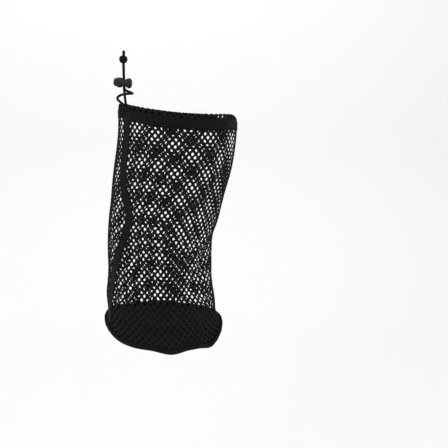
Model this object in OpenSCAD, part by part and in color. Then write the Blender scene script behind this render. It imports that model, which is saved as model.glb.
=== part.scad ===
// Drawstring net bag: an open tube of knotted net on a round fabric base, hung from its cord.
// Millimetres, +Z up, -Y towards the front. The origin is the grip on the cord, just above the lock.

/* [Bag] */
// Radius of the tube of net where it hangs round
tube_r = 75; // [72:0.5:78]
// Height of the net from the rim of the mouth to the base seam
net_h = 280; // [272:1:288]
// Thickness of the net
net_t = 1.2; // [1:0.1:1.4]
// Depth of the rim of the mouth below the grip
mouth_drop = 48.5; // [48:0.5:49]
// Tilt of the base, its front edge lower
base_tilt = 6; // [5:0.5:7]
// Roll of the base, its right edge lower
base_roll = 4; // [3:0.5:5]

/* [Casing and tapes] */
// Height of the tape band that closes the casing
casing_w = 12.5; // [11:0.5:14]
// Height of bare folded net above the tape band
fold_h = 5.5; // [5:0.5:6.5]
// Width of the channel that the drawstring runs in
channel_w = 3.6; // [3.4:0.1:3.8]
// Thickness of the tapes
tape_t = 0.9; // [0.7:0.1:1.1]
// Width of the tape over the upright seam
seam_w = 13; // [12:0.5:14]
// Height of the binding round the base
binding_h = 6; // [5:0.5:7]

/* [Drawstring and lock] */
// Diameter of the drawstring
cord_d = 3; // [2.8:0.1:3]
// Length of the lock's barrel
barrel_l = 19; // [18.6:0.1:19.4]
// Diameter of the barrel's large end
barrel_d = 12.2; // [12:0.1:12.6]
// Diameter of the plunger's stem
plunger_d = 8.4; // [8.3:0.1:8.5]
// Travel of the plunger
travel = 2.6; // [2.4:0.1:2.6]
// Lean of the lock on the cords
lock_lean = 5; // [4:0.5:6]

/* [Hidden] */
$fn = 48;

tube_y = 34;
around = 40;
overlap = 0.2;
thread_d = 0.7;
mouth_angle = 180;
fold_depth = (fold_h + casing_w + 1) / net_h;

// How the tube hangs, from the rim (0) to the base seam (1): [share of the height, value]
lean = [
    [0, 64.5], [0.13, 63.2], [0.25, 58], [0.42, 48], [0.57, 39.5], [0.71, 37], [0.87, 38.5], [1, 42]
];
half_width = [
    [0, -0.6], [0.13, -1], [0.25, -1], [0.42, -4], [0.57, -7],
    [0.71, -7.5], [0.87, -4], [0.95, -2.5], [1, 1.5]
];
// The upright seam turns round the tube as the net twists: degrees from its left edge to the front
seam_turn = [
    [0, 34], [0.14, 35.5], [0.25, 36.5], [0.33, 40.5], [0.45, 52],
    [0.49, 51.5], [0.6, 45], [0.71, 35], [0.85, 28], [1, 16]
];

function rx(s) = tube_r + lookup(s, half_width);
function ry(s) = sqrt(2 * pow(tube_r, 2) - pow(rx(s), 2));
function rim_z(a) = -mouth_drop - 6.5 * cos(a) + 4.5 * pow(cos(a), 2);
base_z = -mouth_drop - net_h;
function seam_z(a) = base_z + tube_r * (tan(base_tilt) * sin(a) - tan(base_roll) * cos(a));
// A point on the net: angle round the tube, share of the height, distance outwards
function on_net(a, s, out) = [
    lookup(s, lean) + (rx(s) + out) * cos(a),
    tube_y + (ry(s) + out) * sin(a),
    rim_z(a) * (1 - s) + seam_z(a) * s
];
function seam_angle(s) = mouth_angle + lookup(s, seam_turn);
function steps(from, to, n) = [for (i = [0:n]) from + (to - from) * i / n];

// A closed outline of [share of height, distance outwards], swept right round the tube
module swept_ring(outline) {
    n = len(outline);
    points = [for (i = [0:around - 1], p = outline) on_net(i * 360 / around, p[0], p[1])];
    faces = [
        for (i = [0:around - 1], j = [0:n - 1])
            let (k = (i + 1) % around, m = (j + 1) % n)
            for (f = [[i * n + j, i * n + m, k * n + m], [i * n + j, k * n + m, k * n + j]]) f
    ];
    polyhedron(points, faces);
}

// A strip lying on the net: rows of [angle, share] down it, from one distance outwards to another
module laid_strip(rows, low, high) {
    n = len(rows[0]);
    r = len(rows);
    outer = [for (row = rows, p = row) on_net(p[0], p[1], high)];
    inner = [for (row = rows, p = row) on_net(p[0], p[1], low)];
    rim = concat(
        [for (j = [0:n - 1]) j],
        [for (i = [1:r - 1]) i * n + n - 1],
        [for (j = [1:n - 1]) (r - 1) * n + n - 1 - j],
        [for (i = [1:r - 2]) (r - 1 - i) * n]
    );
    faces = concat(
        [for (i = [0:r - 2], j = [0:n - 2]) let (q = i * n + j)
            for (f = [[q, q + n, q + n + 1], [q, q + n + 1, q + 1]]) f],
        [for (i = [0:r - 2], j = [0:n - 2]) let (q = i * n + j + r * n)
            for (f = [[q, q + n + 1, q + n], [q, q + 1, q + n + 1]]) f],
        [for (i = [0:len(rim) - 1]) let (a = rim[i], b = rim[(i + 1) % len(rim)])
            for (f = [[a, b, b + r * n], [a, b + r * n, a + r * n]]) f]
    );
    polyhedron(concat(outer, inner), faces);
}

// A round cord swept through points, with flat ends
module swept_cord(route, d, sides = 8) {
    n = len(route);
    function unit(v) = v / norm(v);
    function heading(i) = unit(route[min(i + 1, n - 1)] - route[max(i - 1, 0)]);
    ring = [
        for (i = [0:n - 1])
            let (t = heading(i))
            let (u = unit(cross(t, [0.31, 0.95, 0.1])))
            let (v = cross(t, u))
            for (k = [0:sides - 1])
                route[i] + (u * cos(k * 360 / sides) + v * sin(k * 360 / sides)) * d / 2
    ];
    faces = concat(
        [[for (k = [0:sides - 1]) k]],
        [for (i = [0:n - 2], k = [0:sides - 1])
            let (m = (k + 1) % sides)
            for (f = [[i * sides + k, (i + 1) * sides + k, (i + 1) * sides + m],
                      [i * sides + k, (i + 1) * sides + m, i * sides + m]]) f],
        [[for (k = [sides - 1:-1:0]) (n - 1) * sides + k]]
    );
    polyhedron(ring, faces);
}

// The tube of net: its top is folded inwards and down to make the drawstring's channel
wall_steps = [0.05, 0.11, 0.18, 0.25, 0.33, 0.42, 0.5, 0.57, 0.64, 0.71, 0.79, 0.87, 0.95, 1];
fold_in = -net_t - channel_w;
module net_wall() {
    color([0.06, 0.06, 0.065])
    swept_ring(concat(
        [[0.006, 0], [0, -0.6], [0, fold_in - 0.6], [0.006, fold_in - net_t]],
        [[fold_depth, fold_in - net_t], [fold_depth, fold_in], [0.01, fold_in], [0.01, -net_t]],
        [for (s = wall_steps) [s, -net_t]],
        [for (i = [len(wall_steps) - 1:-1:0]) [wall_steps[i], 0]]
    ));
}

// The tape band over the casing: it stops each side of the corner where the cord comes out
corner_turn = [2, 38];
tape_from = mouth_angle + corner_turn[1];
tape_to = mouth_angle + 360 + corner_turn[0];
casing_end = fold_h + casing_w;
function band_rows(from, to, s_list, n) = [for (s = s_list) [for (a = steps(from, to, n)) [a, s]]];
module casing_tape() {
    color([0.09, 0.1, 0.1])
    laid_strip(
        band_rows(tape_from, tape_to, [fold_h, (fold_h + casing_end) / 2, casing_end] / net_h, 54),
        -overlap, tape_t);
}

// Two rows of lockstitch hold the band, a little in from its edges
stitch_inset = 1.6;
stitch_proud = 0.35;
module casing_stitching() {
    color([0.03, 0.03, 0.03])
    for (h = [fold_h + stitch_inset, casing_end - stitch_inset])
        laid_strip(
            band_rows(tape_from + 1, tape_to - 1, [h - thread_d / 2, h + thread_d / 2] / net_h, 54),
            tape_t - overlap, tape_t + stitch_proud);
}

// Short dense stitching each side of the opening that the cord comes out of
exit_turn = [21, 30.5];
tack_away = 3.5;
tack_half_turn = 0.7;
tack_span = [2, 11];
tack_t = 0.8;
module cord_exit_bartacks() {
    color([0.03, 0.03, 0.03])
    for (turn = [exit_turn[0] - tack_away, exit_turn[1] + tack_away])
        let (middle = mouth_angle + turn)
            laid_strip(
                band_rows(middle - tack_half_turn, middle + tack_half_turn, tack_span / net_h, 1),
                -overlap, tack_t);
}

// The folded tape that binds the net's two upright edges, flat against the outside
function strip_rows(middle, width, s_list, n) = [
    for (s = s_list) [
        for (side = steps(-0.5, 0.5, n))
            [seam_angle(s) + (middle + side * width) / tube_r * 180 / PI, s]
    ]
];
seam_end = 0.985;
seam_under_casing = 5;
module seam_tape() {
    color([0.09, 0.1, 0.1])
    laid_strip(
        strip_rows(0, seam_w, steps((casing_end - seam_under_casing) / net_h, seam_end, 30), 4),
        -overlap, tape_t);
}

module seam_stitching() {
    color([0.03, 0.03, 0.03])
    for (middle = [stitch_inset - seam_w / 2, seam_w / 2 - stitch_inset])
        laid_strip(
            strip_rows(middle, thread_d, steps((casing_end + 1) / net_h, seam_end, 30), 1),
            tape_t - overlap, tape_t + stitch_proud);
}

// The round base: a flat disc of woven fabric, sewn to the bottom of the net
base_t = 1.2;
base_edge = 1;
base_gap = 1;
module base_place() {
    translate([lookup(1, lean), tube_y, base_z - base_t - base_gap])
        rotate([base_tilt, base_roll, 0])
            children();
}
module base_panel() {
    color([0.1, 0.1, 0.1])
    base_place() cylinder(r = tube_r + base_edge, h = base_t, $fn = 96);
}

// Narrow tape folded over the edges of the base and the net, standing out as a rim
binding_r = tube_r + base_edge - overlap;
module base_binding() {
    color([0.05, 0.05, 0.05])
    base_place()
        rotate_extrude($fn = 96)
            translate([binding_r, 0])
                square([tape_t * 2, binding_h]);
}

module base_stitching() {
    color([0.03, 0.03, 0.03])
    base_place()
        rotate_extrude($fn = 96)
            translate([binding_r + tape_t * 2 - overlap, binding_h / 2])
                square([overlap + stitch_proud, thread_d]);
}

// The part of the drawstring that lies in its channel, once round the mouth
cord_out = -net_t - channel_w / 2;
cord_down = 9;
function loop_drop(t) = cord_down * min(1, sin(min(90, t * 1080)), sin(min(90, (1 - t) * 1080)));
loop_from = mouth_angle + exit_turn[1];
loop_to = mouth_angle + 360 + exit_turn[0];
loop_route = [for (t = steps(0, 1, 60))
    on_net(loop_from + (loop_to - loop_from) * t, max(loop_drop(t), 0.4) / net_h, cord_out)];
module drawstring_loop() {
    color([0.05, 0.05, 0.05]) swept_cord(loop_route, cord_d);
}

// The two free strands, from the corner of the mouth up through the lock to the knot
strand_y = 1.6;
taut_route = [
    [1.9, -2.8, -39.5], [1.4, -2.6, -37], [0.9, -2.2, -32], [0.4, -1.8, -26],
    for (z = [-21, -15, -8, 0, 9]) [0, -strand_y, z]
];
slack_route = [
    [-3.2, 8, -38.6], [-4.5, 7.8, -37.1], [-6.6, 6.2, -35.4], [-8.2, 3, -33.6], [-8.4, -1, -31.8],
    [-6.9, -5, -30], [-3.8, -7.7, -28.4], [0.4, -8.5, -27.2], [4.8, -7.5, -26.7], [8.3, -4.5, -26.4],
    [9.8, -0.6, -26], [8.6, 2.8, -25.2], [5.6, 4.3, -24.1], [2.6, 3.8, -22.9], [0.8, 2.4, -21.4],
    [0.1, 1.7, -19.6], for (z = [-17, -11, -4, 3, 9]) [0, strand_y, z]
];
module strand_taut() {
    color([0.05, 0.05, 0.05]) swept_cord(taut_route, cord_d);
}
module strand_slack() {
    color([0.05, 0.05, 0.05]) swept_cord(slack_route, cord_d);
}

// The knot that keeps the lock on: both strands tied together, with two short tails
knot_z = 9;
knot_h = 7;
tail_l = 8;
module end_knot() {
    color([0.05, 0.05, 0.05]) {
        translate([0, 0, knot_z])
            rotate_extrude()
                union() {
                    square([3.4, knot_h]);
                    for (z = [1.6, knot_h - 1.6]) translate([3.4, z]) circle(1.6, $fn = 24);
                }
        for (side = [-1, 1])
            translate([0, side * strand_y, knot_z + knot_h - 0.5])
                rotate([-side * 14, 0, 0])
                    cylinder(d = cord_d, h = tail_l, $fn = 24);
    }
}

// The lock lies across the cords: X runs along its barrel, and the cords pass at X = 0
lock_z = -13.6;
barrel_end = 9.6;
barrel_open = barrel_end - barrel_l;
barrel_waist_d = 10.2;
barrel_small_d = 12;
bead_gap = 1.8;
bore_d = plunger_d + 0.1;
bore_end = barrel_end - 1.3;
slot_y = 2 * cord_d + 0.6;
slot_l = cord_d + travel + 1.1;
slot_left = -cord_d / 2 - 0.55;
plunger_right = 4.3;
button_l = 3;
button_d = 9.8;
dome_r = 3;
shoulder = -6;
bore_step = shoulder + travel + 0.1;
pocket_d = 5.4;
pocket_l = 1.2;
module lock_place() {
    translate([0, 0, lock_z]) rotate([0, lock_lean, 0]) children();
}
module along_lock(x) {
    translate([x, 0, 0]) rotate([0, 90, 0]) children();
}
module cord_slot(left) {
    translate([left, -slot_y / 2, -barrel_d]) cube([slot_l, slot_y, 2 * barrel_d]);
}
// A round bead whose edges are rounded by e
module bead(x, l, d, e) {
    along_lock(x)
        rotate_extrude()
            intersection() {
                union() {
                    square([d / 2 - e, l]);
                    translate([0, e]) square([d / 2, l - 2 * e]);
                    for (z = [e, l - e]) translate([d / 2 - e, z]) circle(e, $fn = 32);
                }
                square([d, l]);
            }
}
module lock_barrel() {
    color([0.14, 0.14, 0.13])
    lock_place()
        difference() {
            union() {
                bead(bead_gap / 2, barrel_end - bead_gap / 2, barrel_d, 3.6);
                bead(barrel_open, -bead_gap / 2 - barrel_open, barrel_small_d, dome_r);
                along_lock(-2 * bead_gap) cylinder(d = barrel_waist_d, h = 4 * bead_gap);
            }
            along_lock(barrel_open - 1) cylinder(d = bore_d, h = bore_end - barrel_open + 1);
            along_lock(barrel_open - 1) cylinder(d = button_d + 0.1, h = bore_step - barrel_open + 1);
            cord_slot(slot_left);
        }
}

module lock_plunger() {
    color([0.16, 0.16, 0.15])
    lock_place()
        difference() {
            union() {
                along_lock(shoulder - 1) cylinder(d = plunger_d, h = plunger_right - shoulder + 1);
                along_lock(barrel_open) cylinder(d = button_d, h = shoulder - barrel_open);
                bead(barrel_open - button_l, 2 * dome_r + 0.2, button_d, dome_r);
            }
            cord_slot(slot_left - travel + 0.1);
            along_lock(plunger_right - pocket_l) cylinder(d = pocket_d, h = pocket_l + 1);
        }
}

// The coil spring that pushes the plunger out
wire_d = 0.5;
coil_r = 2.2;
turns = 4;
spring_from = plunger_right - pocket_l + wire_d / 2 + 0.05;
spring_to = bore_end - wire_d / 2 - 0.05;
module lock_spring() {
    color([0.6, 0.6, 0.6])
    lock_place()
        swept_cord([for (k = steps(0, 1, turns * 14)) [
            spring_from + (spring_to - spring_from) * k,
            coil_r * cos(k * turns * 360),
            coil_r * sin(k * turns * 360)
        ]], wire_d, 6);
}

net_wall();
casing_tape();
casing_stitching();
cord_exit_bartacks();
seam_tape();
seam_stitching();
base_panel();
base_binding();
base_stitching();
drawstring_loop();
strand_taut();
strand_slack();
end_knot();
lock_barrel();
lock_plunger();
lock_spring();
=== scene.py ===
import math

import bmesh
import bpy
import numpy as np
from mathutils import Matrix, Vector


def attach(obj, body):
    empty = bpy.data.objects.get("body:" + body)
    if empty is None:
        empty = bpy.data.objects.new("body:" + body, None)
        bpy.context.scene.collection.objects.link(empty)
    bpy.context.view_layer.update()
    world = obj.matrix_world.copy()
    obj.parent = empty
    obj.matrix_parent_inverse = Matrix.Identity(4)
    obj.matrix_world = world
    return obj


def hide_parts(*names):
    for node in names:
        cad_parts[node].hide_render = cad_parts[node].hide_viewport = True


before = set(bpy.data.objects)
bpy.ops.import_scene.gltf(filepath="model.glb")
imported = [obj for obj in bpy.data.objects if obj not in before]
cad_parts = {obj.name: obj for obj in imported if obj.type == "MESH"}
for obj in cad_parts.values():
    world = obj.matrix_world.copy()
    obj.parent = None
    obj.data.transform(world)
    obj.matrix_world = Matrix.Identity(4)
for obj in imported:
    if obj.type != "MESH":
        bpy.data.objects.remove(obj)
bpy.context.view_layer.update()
MM = 0.001

# ---------------------------------------------------------------- driving sizes, in millimetres
TUBE_R = 75.0
NET_H = 280.0
MOUTH_DROP = 48.5
TUBE_Y = 34.0
BASE_TILT = math.radians(6)
BASE_ROLL = math.radians(4)
CASING_W = 12.5
FOLD_H = 5.5
SEAM_W = 13.0
CORD_D = 3.0
TRAVEL = 2.6
AROUND = 2 * math.pi * TUBE_R
# The net turns by NET_TWIST degrees on its way down. Above the rim it folds over with a radius of
# FOLD_R, and its end hangs FOLD_IN below the rim inside.
NET_TWIST = 9.0
FOLD_R = 3.0
FOLD_IN = FOLD_H + CASING_W + 1
# The rim rises to its left end by RIM_TILT and falls as much to its right end. Both ends are RIM_DISH
# above that slope, and the right one droops by RIM_DROOP, over DROOP_SPREAD degrees to each side.
RIM_TILT = 6.5
RIM_DISH = 4.5
RIM_DROOP = 6.5
DROOP_SPREAD = 16

# How the tube hangs, from the rim (0) to the base seam (1): (share of the height, value). LEAN is where
# its middle is across, HALF_WIDTH what its half width gains, and SEAM_TURN where its seam is, in degrees.
LEAN = [(0, 64.7), (0.13, 63.2), (0.19, 61), (0.26, 57.4), (0.35, 51.8), (0.42, 48.1), (0.5, 43.6),
        (0.58, 39), (0.65, 37.2), (0.75, 37.6), (0.87, 38.2), (1, 42)]
HALF_WIDTH = [(0, -0.6), (0.07, -0.4), (0.13, -0.6), (0.19, -0.7), (0.26, -1), (0.35, -2.8), (0.42, -4.2),
              (0.5, -5.2), (0.58, -7.4), (0.65, -8.2), (0.75, -7.4), (0.81, -5.8), (0.86, -3.9), (0.9, -3.6),
              (0.94, -4), (1, 1.5)]
SEAM_TURN = [(0, 34), (0.14, 35.5), (0.25, 36.5), (0.33, 40.5), (0.4, 47.5), (0.45, 51.8), (0.49, 51.5),
             (0.54, 48.5), (0.6, 45), (0.66, 40.5), (0.71, 35), (0.78, 31), (0.85, 28), (1, 16)]
# The soft base edge hangs off its flat ring: (degrees from the left edge to the front, lift)
EDGE_LIFT = [(0, 6.5), (28, 2.6), (43, -0.9), (62, -1.9), (80, -1.5), (98, -5.4), (115, -1.8), (126, -2.5),
             (141, -6.8), (157, -2), (172, 3.6), (188, 5), (212, 2.5), (242, -3), (275, -5), (310, -2.5),
             (335, 4), (360, 6.5)]


def along(stations, s):
    """A smooth curve through the stations, at each share of the height in s."""
    s = np.clip(np.asarray(s, float), stations[0][0], stations[-1][0])
    at = np.array([p[0] for p in stations], float)
    value = np.array([p[1] for p in stations], float)
    slope = np.gradient(value, at)
    k = np.clip(np.searchsorted(at, s, side="right") - 1, 0, len(at) - 2)
    gap = at[k + 1] - at[k]
    t = (s - at[k]) / gap
    return (value[k] * (1 + 2 * t) * (1 - t) ** 2 + slope[k] * gap * t * (1 - t) ** 2
            + value[k + 1] * t * t * (3 - 2 * t) - slope[k + 1] * gap * t * t * (1 - t))


def on_base(turn):
    """Height of the base seam in millimetres, round the tube."""
    angle = np.radians(180 + np.asarray(turn, float))
    ring = TUBE_R * (math.tan(BASE_TILT) * np.sin(angle) - math.tan(BASE_ROLL) * np.cos(angle))
    return -MOUTH_DROP - NET_H + ring


# Soft folds in the hanging net: (turn, drop) at each end, half width, depth (plus is inwards)
FOLDS = [
    ((172, 150), (112, 228), 12, 5.0),
    ((178, 176), (126, 258), 12, -3.5),
    ((160, 225), (122, 268), 11, 3.0),
    ((40, 120), (64, 190), 13, 2.5),
    ((200, 40), (228, 190), 18, 2.5),
    ((262, 60), (286, 240), 20, -2.5),
    ((318, 80), (300, 220), 16, 2.5),
]


def fold_depth(turn, drop):
    """How far the folds push the net in, at a turn in degrees from the left edge and a drop from the rim."""
    total = np.zeros_like(turn)
    for (turn_a, drop_a), (turn_b, drop_b), width, depth in FOLDS:
        ax, bx = math.radians(turn_a) * TUBE_R, math.radians(turn_b) * TUBE_R
        px = np.radians(np.mod(turn, 360)) * TUBE_R
        dx, dy = bx - ax, drop_b - drop_a
        t = np.clip(((px - ax) * dx + (drop - drop_a) * dy) / (dx * dx + dy * dy), 0, 1)
        away = np.hypot(px - ax - t * dx, drop - drop_a - t * dy)
        ends = np.sin(math.pi * np.clip(0.12 + 0.76 * t, 0, 1))
        total += depth * ends * np.exp(-(away / width) ** 2)
    return total


def on_bag(turn, drop, out):
    """Points in millimetres on the hanging bag: degrees from its left edge towards the front,
    drop below the rim, and distance outwards."""
    turn, drop, out = (np.asarray(x, float) for x in np.broadcast_arrays(turn, drop, out))
    s = drop / NET_H
    angle = np.radians(180 + turn)
    c, y = np.cos(angle), np.sin(angle)
    half = TUBE_R + along(HALF_WIDTH, s)
    deep = np.sqrt(2 * TUBE_R ** 2 - half ** 2)
    # folds fade out towards the taped rim and the base seam
    free = np.sin(math.pi * np.clip((s - 0.03) / 0.97, 0, 1)) ** 0.6
    ripple = 0.5 * np.sin(3 * angle + 5 * s) + 0.4 * np.sin(5 * angle - 4 * s + 1)
    push = out - free * (fold_depth(turn, drop) + ripple)
    rim = -MOUTH_DROP - RIM_TILT * c + RIM_DISH * c * c
    from_right = np.abs(np.mod(turn, 360) - 180)
    droop = RIM_DROOP * np.exp(-(from_right / DROOP_SPREAD) ** 2) * np.clip(1 - s, 0, 1) ** 8
    lift = along(EDGE_LIFT, np.mod(turn, 360)) * np.clip(s, 0, 1) ** 4
    return np.stack([along(LEAN, s) + (half + push) * c, TUBE_Y + (deep + push) * y,
                     rim * (1 - s) + on_base(turn) * s + lift - droop], axis=-1)


def across_at(turn):
    """Distance round the flat net, from its seam, of a turn at the mouth."""
    return (turn - SEAM_TURN[0][1]) / 360 * AROUND


def fold_over(drop, out):
    """Above the rim the net folds over and down inside: the drop and distance out of a flat point."""
    past = np.clip(FOLD_R - drop, 0, None)
    bend = np.clip(past / FOLD_R, 0, math.pi)
    inside = np.clip(past - math.pi * FOLD_R, 0, None)
    low = np.where(past > 0, FOLD_R - (FOLD_R + out) * np.sin(bend) + inside, drop)
    off = np.where(past > 0, -FOLD_R + (FOLD_R + out) * np.cos(bend), out)
    return low, off


def on_net(across, drop, out=0.0):
    """A point of the net, or of a tape sewn round it. The hanging net twists a little on its way down."""
    across, drop, out = (np.asarray(x, float) for x in np.broadcast_arrays(across, drop, out))
    low, off = fold_over(drop, out)
    turn = SEAM_TURN[0][1] - NET_TWIST * low / NET_H + across / AROUND * 360
    return on_bag(turn, low, off)


def on_seam(across, drop, out=0.0):
    """A point of the upright seam, which wanders as the bag hangs: across is from its middle."""
    across, drop, out = (np.asarray(x, float) for x in np.broadcast_arrays(across, drop, out))
    return on_bag(along(SEAM_TURN, drop / NET_H) + across / AROUND * 360, drop, out)


# ---------------------------------------------------------------- making pieces

def finished(name, bm, material):
    """A Blender object from a bmesh drawn in millimetres in the bag's frame."""
    bmesh.ops.scale(bm, vec=(MM, MM, MM), verts=bm.verts)
    mesh = bpy.data.meshes.new(name)
    bm.to_mesh(mesh)
    bm.free()
    for face in mesh.polygons:
        face.use_smooth = True
    mesh.materials.append(material)
    obj = bpy.data.objects.new(name, mesh)
    bpy.context.scene.collection.objects.link(obj)
    return obj


def move_all(bm, place):
    """Moves every vertex from its flat place (x, y, z) to place(x, y, z), all in one go."""
    flat = np.array([v.co for v in bm.verts], float)
    for vert, co in zip(bm.verts, place(flat[:, 0], flat[:, 1], flat[:, 2])):
        vert.co = co


def keep_flat_size(bm):
    """A UV map that holds the flat cloth's own millimetres, for weaves that follow it."""
    layer = bm.loops.layers.uv.new("flat")
    for face in bm.faces:
        for loop in face.loops:
            loop[layer].uv = (loop.vert.co.x, loop.vert.co.y)


def flat_cloth(width, length, step_x, step_y, at=(0, 0)):
    """A flat grid of cloth with its first corner at a point."""
    bm = bmesh.new()
    bmesh.ops.create_grid(bm, x_segments=max(1, round(width / step_x)),
                          y_segments=max(1, round(length / step_y)), size=0.5)
    bmesh.ops.scale(bm, vec=(width, length, 1), verts=bm.verts)
    bmesh.ops.translate(bm, vec=(at[0] + width / 2, at[1] + length / 2, 0), verts=bm.verts)
    return bm


def thicken(bm, thickness):
    """Gives cloth its thickness, with outward faces."""
    bmesh.ops.recalc_face_normals(bm, faces=bm.faces)
    bmesh.ops.solidify(bm, geom=bm.faces[:], thickness=thickness)
    bmesh.ops.recalc_face_normals(bm, faces=bm.faces)


def tube_along(route, radius, sides=16, step=0.5, relief=None, sealed=False):
    """A closed tube along a route in millimetres. relief(turn, run) scales its radius, and a sealed
    tube's far end is rounded off."""
    route = [Vector(p) for p in smooth_route(route, step)]
    bm = bmesh.new()
    rings, side, run = [], Vector((0.31, 0.95, 0.1)), 0.0
    for i, point in enumerate(route):
        ahead = (route[min(i + 1, len(route) - 1)] - route[max(i - 1, 0)]).normalized()
        side = (side - ahead * side.dot(ahead)).normalized()
        over = ahead.cross(side)
        run += (point - route[i - 1]).length if i else 0
        ring = bmesh.ops.create_circle(bm, segments=sides, radius=radius)["verts"]
        from_end = (route[-1] - point).length / radius
        close = math.sqrt(max(0.1, 1 - (1 - from_end) ** 2)) if sealed and from_end < 1 else 1
        for k, vert in enumerate(ring):
            turn = 2 * math.pi * k / sides
            r = radius * close * (relief(turn, run) if relief else 1)
            vert.co = point + (side * math.cos(turn) + over * math.sin(turn)) * r
        rings.append(ring)
    layer = bm.loops.layers.uv.new("flat")
    for i in range(len(rings) - 1):
        for k in range(sides):
            m = (k + 1) % sides
            face = bm.faces.new([rings[i][k], rings[i][m], rings[i + 1][m], rings[i + 1][k]])
            for loop, (a, b) in zip(face.loops, ((k, i), (k + 1, i), (k + 1, i + 1), (k, i + 1))):
                loop[layer].uv = (a / sides * 2 * math.pi * radius, b * step)
    for ring in (rings[0], rings[-1]):
        bm.faces.new(ring)
    bmesh.ops.recalc_face_normals(bm, faces=bm.faces)
    return bm


def smooth_route(route, step):
    """The route as a smooth curve through its points, with a point about every step."""
    points = [Vector(p) for p in route]
    points = [2 * points[0] - points[1], *points, 2 * points[-1] - points[-2]]
    found = []
    for a, b, c, d in zip(points, points[1:], points[2:], points[3:]):
        count = max(1, round((c - b).length / step))
        for k in range(count):
            t = k / count
            found.append(0.5 * (2 * b + (c - a) * t + (2 * a - 5 * b + 4 * c - d) * t * t
                                + (3 * b - a - 3 * c + d) * t ** 3))
    return found + [points[-2]]


def braid(turn, run, strands=8, lay=1.1):
    """The relief of a braided cord: strands that cross each other."""
    one = math.cos(strands / 2 * turn + run * 2 * math.pi / lay / 2)
    other = math.cos(strands / 2 * turn - run * 2 * math.pi / lay / 2)
    return 0.97 + 0.05 * max(abs(one), abs(other))


def modified(obj, kind, **settings):
    """Applies one modifier to an object's mesh."""
    modifier = obj.modifiers.new(kind, kind)
    for key, value in settings.items():
        setattr(modifier, key, value)
    depsgraph = bpy.context.evaluated_depsgraph_get()
    mesh = bpy.data.meshes.new_from_object(obj.evaluated_get(depsgraph), depsgraph=depsgraph)
    obj.modifiers.clear()
    obj.data = mesh
    return obj


# ---------------------------------------------------------------- materials

def node_group(name, inputs, outputs):
    """An empty shader group with named sockets: {name: default value} in, {name: type} out."""
    group = bpy.data.node_groups.new(name, "ShaderNodeTree")
    kinds = {float: "NodeSocketFloat", tuple: "NodeSocketColor", type(None): "NodeSocketVector"}
    for label, value in inputs.items():
        socket = group.interface.new_socket(label, in_out="INPUT", socket_type=kinds[type(value)])
        if value is not None:
            socket.default_value = value
    for label, kind in outputs.items():
        group.interface.new_socket(label, in_out="OUTPUT", socket_type=kind)
    return group, group.nodes.new("NodeGroupInput"), group.nodes.new("NodeGroupOutput")


def add(tree, kind, links=None, **settings):
    """A node with its settings, and its inputs linked or set by name or number."""
    node = tree.nodes.new("ShaderNode" + kind)
    for key, value in settings.items():
        setattr(node, key, value)
    for key, value in (links or {}).items():
        if isinstance(value, bpy.types.NodeSocket):
            tree.links.new(value, node.inputs[key])
        else:
            node.inputs[key].default_value = value
    return node


def yarn_group():
    """Fibres of dyed yarn: a fine mottle of colour, roughness and height."""
    group, start, end = node_group(
        "yarn fibres",
        {"Coordinate": None, "Scale": 1.0, "Dark": (0.01, 0.01, 0.01, 1), "Light": (0.03, 0.03, 0.03, 1)},
        {"Color": "NodeSocketColor", "Roughness": "NodeSocketFloat", "Height": "NodeSocketFloat"})
    scaled = add(group, "VectorMath", {0: start.outputs["Coordinate"], 3: start.outputs["Scale"]},
                 operation="SCALE")
    fine = add(group, "TexNoise", {"Vector": scaled.outputs[0], "Scale": 9.0, "Detail": 3.0})
    broad = add(group, "TexNoise", {"Vector": scaled.outputs[0], "Scale": 0.35, "Detail": 2.0})
    mixed = add(group, "Math", {0: fine.outputs["Fac"], 1: broad.outputs["Fac"]}, operation="MULTIPLY")
    spread = add(group, "MapRange", {"Value": mixed.outputs[0], "From Min": 0.12, "From Max": 0.42})
    colour = add(group, "Mix", {0: spread.outputs[0]}, data_type="RGBA")
    group.links.new(start.outputs["Dark"], colour.inputs[6])
    group.links.new(start.outputs["Light"], colour.inputs[7])
    rough = add(group, "MapRange", {"Value": fine.outputs["Fac"], "To Min": 0.72, "To Max": 0.95})
    group.links.new(colour.outputs[2], end.inputs["Color"])
    group.links.new(rough.outputs[0], end.inputs["Roughness"])
    group.links.new(fine.outputs["Fac"], end.inputs["Height"])
    return group


def rib_group():
    """Woven ribs: a height that repeats along and across the flat cloth. cloth_material uses this height to
    paint shade into the colour.
    """
    group, start, end = node_group(
        "woven ribs", {"Coordinate": None, "Along": 1.0, "Across": 1.0},
        {"Height": "NodeSocketFloat"})
    split = add(group, "SeparateXYZ", {0: start.outputs["Coordinate"]})
    waves = []
    for axis, size in ((0, "Along"), (1, "Across")):
        turns = add(group, "Math", {0: split.outputs[axis], 1: start.outputs[size]}, operation="MULTIPLY")
        waves.append(add(group, "Math", {0: turns.outputs[0]}, operation="SINE"))
    both = add(group, "Math", {0: waves[0].outputs[0], 1: waves[1].outputs[0]}, operation="MULTIPLY")
    height = add(group, "MapRange", {"Value": both.outputs[0], "From Min": -1.0, "From Max": 1.0})
    group.links.new(height.outputs[0], end.inputs["Height"])
    return group


YARN = yarn_group()
RIBS = rib_group()


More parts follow.
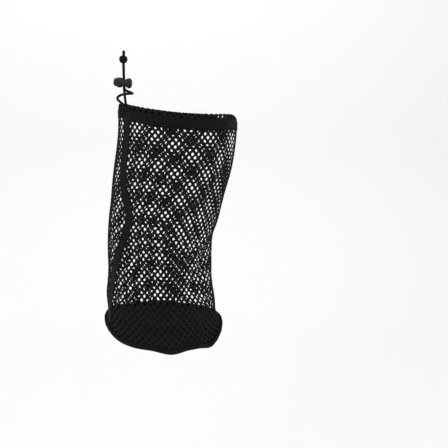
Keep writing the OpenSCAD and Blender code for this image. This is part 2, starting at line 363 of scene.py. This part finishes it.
def cloth_material(name, dark, light, rib=None, bump=0.5, distance=0.00025, sheen=0.02, scale=1.0):
    """Black cloth: yarn fibres, and woven ribs (turns a millimetre along and across) if it has them. The
    ribs' height bumps the cloth and also paints shade into its colour: darker in the grooves, paler on the
    crests.
    """
    material = bpy.data.materials.new(name)
    material.use_nodes = True
    tree = material.node_tree
    shader = tree.nodes["Principled BSDF"]
    where = add(tree, "TexCoord")
    coordinate = where.outputs["Object"]
    millimetres = add(tree, "VectorMath", {0: coordinate, 3: 1 / MM}, operation="SCALE")
    yarn = add(tree, "Group", node_tree=YARN)
    tree.links.new(millimetres.outputs[0], yarn.inputs["Coordinate"])
    yarn.inputs["Scale"].default_value = scale
    yarn.inputs["Dark"].default_value = (*dark, 1)
    yarn.inputs["Light"].default_value = (*light, 1)
    height = yarn.outputs["Height"]
    colour = yarn.outputs["Color"]
    if rib:
        flat = add(tree, "UVMap", uv_map="flat")
        weave = add(tree, "Group", node_tree=RIBS)
        tree.links.new(flat.outputs[0], weave.inputs["Coordinate"])
        weave.inputs["Along"].default_value = rib[0] * 2 * math.pi
        weave.inputs["Across"].default_value = rib[1] * 2 * math.pi
        together = add(tree, "Math", {0: weave.outputs["Height"], 1: 2.5, 2: height},
                       operation="MULTIPLY_ADD")
        height = together.outputs[0]
        # painted shade and highlight: the rib height scales the colour from 0.65 in the grooves to 1.2 on
        # the crests
        shade = add(tree, "MapRange", {"Value": weave.outputs["Height"], "To Min": 0.65, "To Max": 1.2})
        painted_rib_shade = add(tree, "VectorMath", {0: colour, 3: shade.outputs[0]}, operation="SCALE")
        colour = painted_rib_shade.outputs[0]
    raised = add(tree, "Bump", {"Strength": bump, "Distance": distance, "Height": height})
    tree.links.new(colour, shader.inputs["Base Color"])
    tree.links.new(yarn.outputs["Roughness"], shader.inputs["Roughness"])
    tree.links.new(raised.outputs[0], shader.inputs["Normal"])
    shader.inputs["Specular IOR Level"].default_value = 0.1
    shader.inputs["Sheen Weight"].default_value = sheen
    shader.inputs["Sheen Roughness"].default_value = 0.5
    shader.inputs["Sheen Tint"].default_value = (0.5, 0.5, 0.52, 1)
    return material


def plastic_material(name, colour, rough=0.42):
    """Moulded plastic with a fine texture and a cloudy tone that varies at random."""
    material = bpy.data.materials.new(name)
    material.use_nodes = True
    tree = material.node_tree
    shader = tree.nodes["Principled BSDF"]
    where = add(tree, "TexCoord")
    grain = add(tree, "TexNoise", {"Vector": where.outputs["Object"], "Scale": 2600.0, "Detail": 2.0})
    cloud = add(tree, "TexNoise", {"Vector": where.outputs["Object"], "Scale": 180.0, "Detail": 3.0})
    shade = add(tree, "MapRange", {"Value": cloud.outputs["Fac"], "From Min": 0.3, "From Max": 0.7,
                                   "To Min": 0.85, "To Max": 1.25})
    tone = add(tree, "VectorMath", {0: (*colour,), 3: shade.outputs[0]}, operation="SCALE")
    roughness = add(tree, "MapRange", {"Value": grain.outputs["Fac"], "To Min": rough - 0.08,
                                       "To Max": rough + 0.16})
    raised = add(tree, "Bump", {"Strength": 0.25, "Distance": 0.00004, "Height": grain.outputs["Fac"]})
    tree.links.new(tone.outputs[0], shader.inputs["Base Color"])
    tree.links.new(roughness.outputs[0], shader.inputs["Roughness"])
    tree.links.new(raised.outputs[0], shader.inputs["Normal"])
    shader.inputs["Specular IOR Level"].default_value = 0.22
    return material


def wire_material(name):
    """Drawn steel wire."""
    material = bpy.data.materials.new(name)
    material.use_nodes = True
    tree = material.node_tree
    shader = tree.nodes["Principled BSDF"]
    where = add(tree, "TexCoord")
    drawn = add(tree, "TexNoise", {"Vector": where.outputs["Object"], "Scale": 1500.0, "Detail": 2.0})
    roughness = add(tree, "MapRange", {"Value": drawn.outputs["Fac"], "To Min": 0.22, "To Max": 0.42})
    tree.links.new(roughness.outputs[0], shader.inputs["Roughness"])
    shader.inputs["Base Color"].default_value = (0.6, 0.6, 0.6, 1)
    shader.inputs["Metallic"].default_value = 1.0
    return material


NET_YARN = cloth_material("net yarn", (0.0035, 0.0035, 0.004), (0.0115, 0.0115, 0.0125), scale=1.3)
TAPE_CLOTH = cloth_material("ribbed tape", (0.0034, 0.0038, 0.0037), (0.0082, 0.009, 0.0086), rib=(0.9, 1.4))
BASE_CLOTH = cloth_material("base cloth", (0.0045, 0.0045, 0.0045), (0.0105, 0.0105, 0.0105), rib=(1.1, 1.1))
THREAD = cloth_material("sewing thread", (0.004, 0.004, 0.004), (0.010, 0.010, 0.010), scale=3.0)
CORD = cloth_material("braided cord", (0.003, 0.003, 0.003), (0.010, 0.010, 0.010), scale=2.0)
LOCK_PLASTIC = plastic_material("lock plastic", (0.011, 0.011, 0.0105))
SPRING_WIRE = wire_material("spring wire")


# ---------------------------------------------------------------- camera

CAMERA_AT = (0.064, -0.766, -0.0483)
LOOK_DOWN = 10.3
LOOK_RIGHT = 4.23
VIEW_ANGLE = 40


def put_camera():
    """Level with the mouth, 0.8 m in front of the tube, and turned a little down and to the right."""
    lens = bpy.data.cameras.new("camera")
    lens.sensor_width = 36.0
    lens.lens = lens.sensor_width / 2 / math.tan(math.radians(VIEW_ANGLE / 2))
    lens.clip_end = 20
    camera = bpy.data.objects.new("camera", lens)
    camera.location = CAMERA_AT
    camera.rotation_euler = (math.radians(90 - LOOK_DOWN), 0, math.radians(-LOOK_RIGHT))
    bpy.context.scene.collection.objects.link(camera)
    bpy.context.scene.camera = camera


put_camera()


# ---------------------------------------------------------------- cords

# Each route runs from the corner of the mouth, where the cord comes out, up through the lock to the knot.
STRAND_Y = 1.6
TAUT_ROUTE = [
    (1.9, -2.8, -39.5), (1.4, -2.6, -37), (0.9, -2.2, -32), (0.4, -1.8, -26),
    *[(0, -STRAND_Y, z) for z in (-21, -15, -8, 0, 9)],
]
SLACK_ROUTE = [
    (-3.2, 8, -38.6), (-4.5, 7.8, -37.1), (-6.6, 6.2, -35.4), (-8.2, 3, -33.6), (-8.4, -1, -31.8),
    (-6.9, -5, -30), (-3.8, -7.7, -28.4), (0.4, -8.5, -27.2), (4.8, -7.5, -26.7), (8.3, -4.5, -26.4),
    (9.8, -0.6, -26), (8.6, 2.8, -25.2), (5.6, 4.3, -24.1), (2.6, 3.8, -22.9), (0.8, 2.4, -21.4),
    (0.1, 1.7, -19.6), *[(0, STRAND_Y, z) for z in (-17, -11, -4, 3, 9)],
]
# In the knot, at KNOT_Z, each strand winds KNOT_WIND degrees round a core while it climbs KNOT_CLIMB.
KNOT_Z = 9.0
KNOT_START = 60
KNOT_WIND = 450
KNOT_CLIMB = 5.7
KNOT_STEPS = 21
CORE_R = 2.3


def free_strand(name, route, node):
    """One free strand of the drawstring, from the corner of the mouth up to the knot."""
    strand = finished(name, tube_along(route, CORD_D / 2, relief=braid), CORD)
    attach(strand, "bag")
    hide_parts(node)
    return strand


def knot_strand(side):
    """One strand's way through the knot: round the core beside the other strand, then out as a tail."""
    route = [(0, side * STRAND_Y, KNOT_Z - 0.7), (0, side * STRAND_Y, KNOT_Z + 0.2)]
    for k in range(KNOT_STEPS + 1):
        t = k / KNOT_STEPS
        angle = math.radians(side * 90 + KNOT_START + KNOT_WIND * t)
        radius = 2.0 + 1.7 * min(1, 5 * t, 5 * (1 - t))
        route.append((radius * math.cos(angle), radius * math.sin(angle), KNOT_Z + 1.9 + KNOT_CLIMB * t))
    end = KNOT_Z + 9
    return route + [(0.5, side * 1.5, end), (0.6, side * 2.1, end + 3), (0.9, side * 3.1, end + 6)]


def end_knot():
    """The two strands tied together round their own core, with sealed tails."""
    bm = bmesh.new()
    core = [(0, 0, KNOT_Z + 0.9), (0, 0, KNOT_Z + 4), (0, 0, KNOT_Z + 8.4)]
    for route, radius in ((knot_strand(-1), CORD_D / 2), (knot_strand(1), CORD_D / 2), (core, CORE_R)):
        part = tube_along(route, radius, sides=14, step=0.6, relief=braid, sealed=True)
        copy = bpy.data.meshes.new("knot strand")
        part.to_mesh(copy)
        part.free()
        bm.from_mesh(copy)
        bpy.data.meshes.remove(copy)
    knot = finished("end_knot_tied", bm, CORD)
    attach(knot, "bag")
    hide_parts("end_knot")
    return knot


KNOT = end_knot()
TAUT = free_strand("strand_taut_cord", TAUT_ROUTE, "strand_taut")
SLACK = free_strand("strand_slack_cord", SLACK_ROUTE, "strand_slack")


# ---------------------------------------------------------------- net

COLUMNS = 55
DIAMOND_W = AROUND / COLUMNS
DIAMOND_H = 9.7
# The rows of meshes run down by this many meshes once round.
ROWS_LOST = 2
# Half a thread's width and the rounding at its knots, as shares of a mesh's side.
THREAD_HALF = 0.168
KNOT_ROUNDING = 0.085
# How far threads and knots stand out from the middle of the net, on either side.
THREAD_OUT = 0.5
KNOT_OUT = 0.8
# The drop of the net's end inside the rim, counted along the cloth, so it is above 0.
NET_TOP = FOLD_R - math.pi * FOLD_R - (FOLD_IN - FOLD_R)


def net_pattern():
    """The flat net: a grid with four steps to a mesh, turned on its corner and cropped, its holes cut out.
    Returns the bmesh, and the sort of each vertex in a layer: 2 knot, 1 thread, 0 edge."""
    length = NET_H - NET_TOP
    reach = AROUND / DIAMOND_W + length / DIAMOND_H
    cells = math.ceil(reach / 2) + 4
    bm = bmesh.new()
    bmesh.ops.create_grid(bm, x_segments=8 * cells, y_segments=8 * cells, size=cells)
    # a and b count the quarter steps past a thread's middle: 0 is on it, 1 and 3 are at a hole's edge
    share = [0, THREAD_HALF, 0.5, 1 - THREAD_HALF]
    sort = bm.verts.layers.int.new("sort")
    holes = []
    for face in bm.faces:
        middle = face.calc_center_median()
        inner = [0.25 < (x % 1) < 0.75 for x in (middle.x, middle.y)]
        if all(inner):
            holes.append(face)
    bmesh.ops.delete(bm, geom=holes, context="FACES")
    for vert in bm.verts:
        i, j = round(vert.co.x * 4), round(vert.co.y * 4)
        a, b = i % 4, j % 4
        vert[sort] = 2 if a == 0 and b == 0 else 1 if a == 0 or b == 0 else 0
        x, y = i // 4 + share[a], j // 4 + share[b]
        if a in (1, 3) and b in (1, 3):
            x += KNOT_ROUNDING if a == 1 else -KNOT_ROUNDING
            y += KNOT_ROUNDING if b == 1 else -KNOT_ROUNDING
        flat_x = (x - y) * DIAMOND_W / 2
        vert.co = (flat_x, (x + y) * DIAMOND_H / 2 + flat_x / AROUND * ROWS_LOST * DIAMOND_H, 0)
    bmesh.ops.translate(bm, vec=(AROUND / 2, NET_TOP + length / 2, 0), verts=bm.verts)
    for point, away in (((0, 0, 0), (-1, 0, 0)), ((AROUND, 0, 0), (1, 0, 0)),
                        ((0, NET_TOP, 0), (0, -1, 0)), ((0, NET_H, 0), (0, 1, 0))):
        bmesh.ops.bisect_plane(bm, geom=[*bm.verts, *bm.edges, *bm.faces], dist=1e-4,
                               plane_co=point, plane_no=away, clear_outer=True)
    return bm, sort


def net_tube():
    """The net round the bag: two skins that meet at the holes' edges, so each thread is round."""
    bm, sort = net_pattern()
    keep_flat_size(bm)
    for vert in bm.verts:
        vert.co.z = 0 if vert.is_boundary else (THREAD_OUT if vert[sort] < 2 else KNOT_OUT)
    rim = [v for v in bm.verts if v.is_boundary]
    copy = bmesh.ops.duplicate(bm, geom=[*bm.verts, *bm.edges, *bm.faces])["geom"]
    under = [g for g in copy if isinstance(g, bmesh.types.BMVert)]
    bmesh.ops.scale(bm, vec=(1, 1, -1), verts=under)
    bmesh.ops.reverse_faces(bm, faces=[g for g in copy if isinstance(g, bmesh.types.BMFace)])
    bmesh.ops.remove_doubles(bm, verts=rim + [v for v in under if v.co.z == 0], dist=1e-4)
    move_all(bm, on_net)
    net = finished("net_tube", bm, NET_YARN)
    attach(net, "bag")
    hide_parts("net_wall")
    return net


NET = net_tube()


# ---------------------------------------------------------------- tapes, base and stitching

def sewn_tape(name, bm, thickness, material, node):
    """Flat cloth that is in its place, given its thickness and sewn to the bag."""
    thicken(bm, thickness)
    tape = finished(name, bm, material)
    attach(tape, "bag")
    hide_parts(node)
    return tape


# The casing band starts and ends beside the cord's way out, and is gathered most at the front.
TAPE_FROM, TAPE_TO = across_at(38), across_at(362)
TAPE_OUT = 0.9
GATHER_AT = across_at(90)
GATHER = 1.6
GATHER_SPREAD = 40


def on_band(across, drop, out):
    """A point of the casing band. Its lower edge is gathered up in front and a little wavy."""
    across, drop = np.asarray(across, float), np.asarray(drop, float)
    lower = (drop - FOLD_H) / CASING_W
    gather = GATHER * np.exp(-((across - GATHER_AT) / GATHER_SPREAD) ** 2) - 0.35 * np.sin(across / 5.1)
    return on_net(across, drop - gather * lower + 0.25 * np.sin(across / 13.0 + 1), out)


def casing_band():
    """The band that closes the casing, a little puckered along its stitching."""
    bm = flat_cloth(TAPE_TO - TAPE_FROM, CASING_W, 2.0, 1.5, at=(TAPE_FROM, FOLD_H))
    keep_flat_size(bm)

    def place(x, y, z):
        belly = np.sin(math.pi * np.clip((y - FOLD_H) / CASING_W, 0, 1))
        return on_band(x, y, TAPE_OUT + belly * (0.5 + 0.3 * np.sin(x / 4.3) + 0.2 * np.sin(x / 9.7 + 2)))
    move_all(bm, place)
    return sewn_tape("casing_band", bm, 0.6, TAPE_CLOTH, "casing_tape")


# The seam's tape starts this far under the casing band and ends this far above the end of the net.
SEAM_UNDER_BAND = 6
SEAM_SHORT = 3


def seam_binding():
    """The folded tape over the upright seam: two thick edges and a shallow middle."""
    top, bottom = FOLD_H + CASING_W - SEAM_UNDER_BAND, NET_H - SEAM_SHORT
    bm = flat_cloth(SEAM_W, bottom - top, 1.0, 2.0, at=(-SEAM_W / 2, top))
    keep_flat_size(bm)

    def place(x, y, z):
        side = x / (SEAM_W / 2)
        out = 1.0 + 0.35 * side ** 4 + 0.2 * np.sin(y / 6.5)
        wander = 0.5 * np.sin(y / 17.0)
        return on_seam(x + wander, y, out)
    move_all(bm, place)
    return sewn_tape("seam_binding", bm, 0.8, TAPE_CLOTH, "seam_tape")


# The base sags in its middle, ripples a little and lies this far below the end of the net.
BASE_SAG = 2.2
BASE_WAVE = 0.9
BASE_BELOW = 1.2


def base_point(turn, share, lift):
    """A point of the base: round it, from its middle (0) to its edge (1), lifted off its plane."""
    turn, share, lift = (np.asarray(x, float) for x in np.broadcast_arrays(turn, share, lift))
    edge = on_bag(turn, NET_H, 0.4)
    middle = np.array([LEAN[-1][1], TUBE_Y, -MOUTH_DROP - NET_H])
    place = middle + (edge - middle) * share[..., None]
    angle = np.radians(turn)
    sag = -BASE_SAG * (1 - share ** 2) + BASE_WAVE * np.sin(2 * angle + 0.6) * share * (1 - share) * 3
    place[..., 2] += sag - BASE_BELOW + lift
    return place


def base_disc():
    """The round base: rings of cloth from the middle out to the seam."""
    rings, sides = 24, 96
    bm = flat_cloth(360, 1, 360 / sides, 1 / rings)
    move_all(bm, lambda x, y, z: base_point(x, np.clip(y, 0.0, 1) ** 0.8, 0))
    bmesh.ops.remove_doubles(bm, verts=bm.verts, dist=0.01)
    keep_flat_size(bm)
    base = sewn_tape("base_cloth_disc", bm, 0.9, BASE_CLOTH, "base_panel")
    return base


# The height of the base seam's binding, and how far its middle is above the edge of the base.
BINDING_H = 6.0
BINDING_UP = 1.6


def base_rim():
    """The narrow tape folded over the edges of the net and the base: a soft U that stands out a little."""
    sides, round_steps = 240, 14
    bm = flat_cloth(360, 1, 360 / sides, 1 / round_steps)
    keep_flat_size(bm)

    def place(x, y, z):
        turn, phase = x, 2 * math.pi * y
        lip = 1.25 + 0.15 * np.sin(np.radians(turn) * 31)
        out = 0.9 + lip * np.cos(phase)
        up = BINDING_H / 2 * np.sign(np.sin(phase)) * np.abs(np.sin(phase)) ** 0.7
        middle = base_point(turn, 1.0, 0)
        angle = np.radians(180 + turn)
        return middle + np.stack([out * np.cos(angle), out * np.sin(angle), up + BINDING_UP], axis=-1)
    move_all(bm, place)
    bmesh.ops.remove_doubles(bm, verts=bm.verts, dist=0.01)
    bmesh.ops.recalc_face_normals(bm, faces=bm.faces)
    rim = finished("base_rim_binding", bm, TAPE_CLOTH)
    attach(rim, "bag")
    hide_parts("base_binding")
    return rim


# Stitches stand out from what they go through: over a tape that lies at TAPE_OUT, or straight on the net.
STITCH_PITCH = 3.0
STITCH_INSET = 1.6
STITCH_OUT = 0.75
SEAM_STITCH_OUT = 1.65
BASE_STITCHES = 150
BASE_STITCH_OUT = 2.15
BASE_STITCH_UP = 1.9
# The bar tacks are at these turns, one on each side of the cord's way out.
TACK_TURNS = (17.5, 34)
TACK_STITCHES = 14
TACK_TOP = 2.5
TACK_PITCH = 0.62


def stitches(name, places, node, length=2.3, width=0.55, height=0.4):
    """Single stitches as one piece. places holds (point, direction, outwards) for each."""
    bm = bmesh.new()
    for point, direction, outwards in places:
        made = bmesh.ops.create_icosphere(bm, subdivisions=1, radius=0.5)["verts"]
        x = direction.normalized()
        z = (outwards - x * outwards.dot(x)).normalized()
        y = z.cross(x)
        turn = Matrix((x * length, y * width, z * height)).transposed().to_4x4()
        bmesh.ops.transform(bm, matrix=Matrix.Translation(point) @ turn, verts=made)
    row = finished(name, bm, THREAD)
    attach(row, "bag")
    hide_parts(node)


def stitch_row(surface, start, end, pitch, out):
    """Places for stitches along a straight flat line on the net or the seam."""
    start, end = Vector(start), Vector(end)
    count = round((end - start).length / pitch)
    found = []
    for k in range(count):
        a = start.lerp(end, (k + 0.2) / count)
        b = start.lerp(end, (k + 0.8) / count)
        pa, pb, high = (Vector(surface(p.x, p.y, o)) for p, o in ((a, out), (b, out), (a, out + 1)))
        found.append(((pa + pb) / 2, pb - pa, high - pa))
    return found


def casing_stitches():
    """Two rows round the casing band, near its edges."""
    rows = []
    for drop in (FOLD_H + STITCH_INSET, FOLD_H + CASING_W - STITCH_INSET):
        rows += stitch_row(on_band, (TAPE_FROM + 1, drop), (TAPE_TO - 1, drop), STITCH_PITCH,
                           TAPE_OUT + STITCH_OUT)
    stitches("casing_stitches", rows, "casing_stitching")


def seam_stitches():
    """Two rows down the seam's tape, near its edges."""
    rows = []
    for side in (-1, 1):
        x = side * (SEAM_W / 2 - STITCH_INSET)
        rows += stitch_row(on_seam, (x, FOLD_H + CASING_W + 1), (x, NET_H - SEAM_SHORT - 1), STITCH_PITCH,
                           SEAM_STITCH_OUT)
    stitches("seam_stitches", rows, "seam_stitching")


def base_stitches():
    """One row round the binding of the base seam."""
    rows = []
    for k in range(BASE_STITCHES):
        turn = k * 360 / BASE_STITCHES
        angle = math.radians(180 + turn)
        outwards = Vector((math.cos(angle), math.sin(angle), 0))
        off = outwards * BASE_STITCH_OUT + Vector((0, 0, BASE_STITCH_UP))
        point = Vector(base_point(turn, 1.0, 0)) + off
        rows.append((point, Vector((-outwards.y, outwards.x, 0)), outwards))
    stitches("base_stitches", rows, "base_stitching")


def cord_exit_tacks():
    """A bar tack on each side of the cord's way out."""
    rows = []
    for turn in TACK_TURNS:
        across = across_at(turn)
        for k in range(TACK_STITCHES):
            drop = TACK_TOP + k * TACK_PITCH
            point, high, right = (Vector(on_net(across + dx, drop, STITCH_OUT + more))
                                  for dx, more in ((0, 0), (0, 1), (1, 0)))
            rows.append((point, right - point, high - point))
    stitches("cord_exit_tacks", rows, "cord_exit_bartacks", length=2.4, width=0.6, height=0.6)


sewn_on = [casing_band(), seam_binding(), base_rim()]
BASE = base_disc()
casing_stitches()
seam_stitches()
base_stitches()
cord_exit_tacks()


# ---------------------------------------------------------------- drawstring inside the casing

# The loop's first and last turn, and how far it is below the rim and inside the net.
LOOP_FROM, LOOP_TO = 30.5, 381.0
LOOP_DROP = 9
LOOP_IN = 3.0


def casing_cord():
    """The drawstring's way round the mouth inside the casing, from the slack strand to the taut one.
    It dips from the rim to the middle of the casing within a twelfth of its way at each end."""
    turns = np.linspace(LOOP_FROM, LOOP_TO, 90)
    route = []
    for k, turn in enumerate(turns):
        t = k / (len(turns) - 1)
        sink = min(math.sin(min(math.pi / 2, share * 6 * math.pi)) for share in (t, 1 - t))
        route.append(Vector(on_bag(turn, max(LOOP_DROP * sink, 0.3), -LOOP_IN)))
    bm = tube_along(route, CORD_D / 2, sides=12, step=1.2, relief=braid)
    cord = finished("casing_drawstring", bm, CORD)
    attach(cord, "bag")
    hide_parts("drawstring_loop")


casing_cord()


# ---------------------------------------------------------------- cord lock

# The lock's own axis is x, from the middle of its slot. The barrel's open end takes the plunger, whose
# button ends at a shoulder, and the barrel's bore has a step where the shoulder stops.
LOCK_DROP = 13.6
LOCK_TILT = 5
LOCK = Matrix.Translation((0, 0, -LOCK_DROP)) @ Matrix.Rotation(math.radians(LOCK_TILT), 4, "Y")
BARREL_END = 9.6
BARREL_L = 19
BARREL_OPEN = BARREL_END - BARREL_L
PLUNGER_D = 8.4
BUTTON_D = 9.8
SHOULDER = -6.0
BORE_STEP = SHOULDER + TRAVEL + 0.1
SLOT_L = CORD_D + TRAVEL + 1.1
SLOT_W = 2 * CORD_D + 0.6
CLEARANCE = 0.05
SOFT_EDGE = 0.28


def turned(profile, steps=64):
    """A turned piece: a closed outline of (along, radius) spun about the barrel's own axis."""
    bm = bmesh.new()
    verts = [bm.verts.new((x, 0, r)) for x, r in profile]
    edges = [bm.edges.new((a, b)) for a, b in zip(verts, verts[1:] + verts[:1])]
    bmesh.ops.spin(bm, geom=verts + edges, axis=(1, 0, 0), cent=(0, 0, 0), angle=2 * math.pi,
                   steps=steps, use_merge=True)
    bmesh.ops.remove_doubles(bm, verts=bm.verts, dist=1e-4)
    bmesh.ops.dissolve_degenerate(bm, edges=bm.edges, dist=1e-5)
    bmesh.ops.recalc_face_normals(bm, faces=bm.faces)
    return bm


def arc(middle, radius, start, end, steps=8):
    """Points of an outline on an arc, by degrees."""
    turns = [math.radians(start + (end - start) * k / steps) for k in range(steps + 1)]
    return [(middle[0] + radius * math.cos(a), middle[1] + radius * math.sin(a)) for a in turns]


def slot_cutter(left):
    """A tall block with rounded corners that cuts the cords' slot."""
    bm = bmesh.new()
    bmesh.ops.create_cube(bm, size=1)
    bmesh.ops.scale(bm, vec=(SLOT_L, SLOT_W, 30), verts=bm.verts)
    bmesh.ops.translate(bm, vec=(left + SLOT_L / 2, 0, 0), verts=bm.verts)
    upright = [e for e in bm.edges if abs(e.verts[0].co.z - e.verts[1].co.z) > 1]
    bmesh.ops.bevel(bm, geom=upright, offset=1.2, segments=4, affect="EDGES", profile=0.5, material=-1)
    return finished("slot cutter", bm, LOCK_PLASTIC)


def lock_piece(name, bm, slot_left, body, node):
    """A plastic piece of the lock: its slot cut, its edges softened, then put in its place."""
    piece = finished(name, bm, LOCK_PLASTIC)
    cutter = slot_cutter(slot_left)
    modified(piece, "BOOLEAN", operation="DIFFERENCE", object=cutter, solver="EXACT")
    bpy.data.objects.remove(cutter)
    modified(piece, "BEVEL", width=SOFT_EDGE * MM, segments=2, limit_method="ANGLE",
             angle_limit=math.radians(50))
    for face in piece.data.polygons:
        face.use_smooth = True
    place = LOCK.copy()
    place.translation = place.translation * MM
    piece.data.transform(place)
    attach(piece, body)
    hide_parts(node)


def barrel():
    """A hollow barrel: a round closed end, a waist at the cords' slot and a round open end."""
    outer = [(BARREL_END, 0.0), *arc((6.0, 2.5), 3.6, 0, 90, 10), *arc((4.5, 2.5), 3.6, 90, 128, 6),
             (1.6, 5.12), (0.6, 5.1), (-0.6, 5.1), (-1.7, 5.12),
             *arc((-4.2, 3.0), 3.0, 45, 90, 6), *arc((-6.4, 3.0), 3.0, 90, 135, 8)]
    bore = PLUNGER_D / 2 + CLEARANCE
    wide = BUTTON_D / 2 + CLEARANCE
    inner = [(-8.62, wide + 0.07), (-8.5, wide), (BORE_STEP, wide), (BORE_STEP, bore),
             (8.3, bore), (8.3, 0.0)]
    lock_piece("lock_barrel_body", turned(outer + inner), -CORD_D / 2 - 0.55, "lock", "lock_barrel")


def plunger():
    """The plunger: a domed button outside, a slotted stem inside."""
    r = PLUNGER_D / 2
    wide = BUTTON_D / 2
    outline = [(4.3, 0.0), (4.3, r - 0.3), (4.0, r), (SHOULDER, r), (SHOULDER, wide - 0.2),
               (SHOULDER - 0.2, wide), *arc((BARREL_OPEN, wide - 3), 3, 90, 180, 9),
               (BARREL_OPEN - 3.0, 0.0)]
    lock_piece("lock_plunger_button", turned(outline), -CORD_D / 2 - 0.45 - TRAVEL, "plunger",
               "lock_plunger")


barrel()
plunger()
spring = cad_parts["lock_spring"]
spring.data.materials.clear()
spring.data.materials.append(SPRING_WIRE)


# ---------------------------------------------------------------- studio

def stage_material(name, colour):
    """A matt paint in one colour."""
    material = bpy.data.materials.new(name)
    material.use_nodes = True
    shader = material.node_tree.nodes["Principled BSDF"]
    shader.inputs["Base Color"].default_value = (*colour, 1)
    shader.inputs["Roughness"].default_value = 0.9
    return material


def studio():
    """A pale floor that sweeps up into a backdrop."""
    bm = bmesh.new()
    floor_z, back_y, bend = -0.75, 1.6, 0.6
    outline = [(-3.0, floor_z), (back_y - bend, floor_z),
               *[(back_y - bend + bend * math.sin(a), floor_z + bend - bend * math.cos(a))
                 for a in np.linspace(0, math.pi / 2, 12)[1:]], (back_y, 3.0)]
    verts = [bm.verts.new((-4, y, z)) for y, z in outline]
    edges = [bm.edges.new((a, b)) for a, b in zip(verts, verts[1:])]
    made = bmesh.ops.extrude_edge_only(bm, edges=edges)["geom"]
    bmesh.ops.translate(bm, vec=(8, 0, 0), verts=[g for g in made if isinstance(g, bmesh.types.BMVert)])
    mesh = bpy.data.meshes.new("sweep")
    bm.to_mesh(mesh)
    bm.free()
    for face in mesh.polygons:
        face.use_smooth = True
    mesh.materials.append(stage_material("pale floor", (0.86, 0.86, 0.86)))
    floor = bpy.data.objects.new("sweep", mesh)
    bpy.context.scene.collection.objects.link(floor)


def area_light(name, at, aim, size, power):
    """A square soft light at a place, aimed at a point."""
    light = bpy.data.lights.new(name, "AREA")
    light.size = size
    light.energy = power
    lamp = bpy.data.objects.new(name, light)
    lamp.location = at
    lamp.rotation_euler = (Vector(aim) - Vector(at)).to_track_quat("-Z", "Y").to_euler()
    bpy.context.scene.collection.objects.link(lamp)


BAG_MIDDLE = (0.05, 0, -0.2)


def lights():
    """An even white surround, a key light from the left, a weak fill and one for the backdrop."""
    world = bpy.data.worlds.new("studio")
    world.use_nodes = True
    world.node_tree.nodes["Background"].inputs["Color"].default_value = (1, 1, 1, 1)
    world.node_tree.nodes["Background"].inputs["Strength"].default_value = 0.8
    bpy.context.scene.world = world
    bpy.context.scene.view_settings.view_transform = "Standard"
    area_light("key", (-1.2, -1.6, 1.0), BAG_MIDDLE, 1.2, 13)
    area_light("fill", (1.6, -1.2, 0.4), BAG_MIDDLE, 1.4, 5)
    area_light("backdrop light", (0.0, 0.5, 1.6), (0, 1.6, -0.2), 2.0, 14)


studio()
lights()
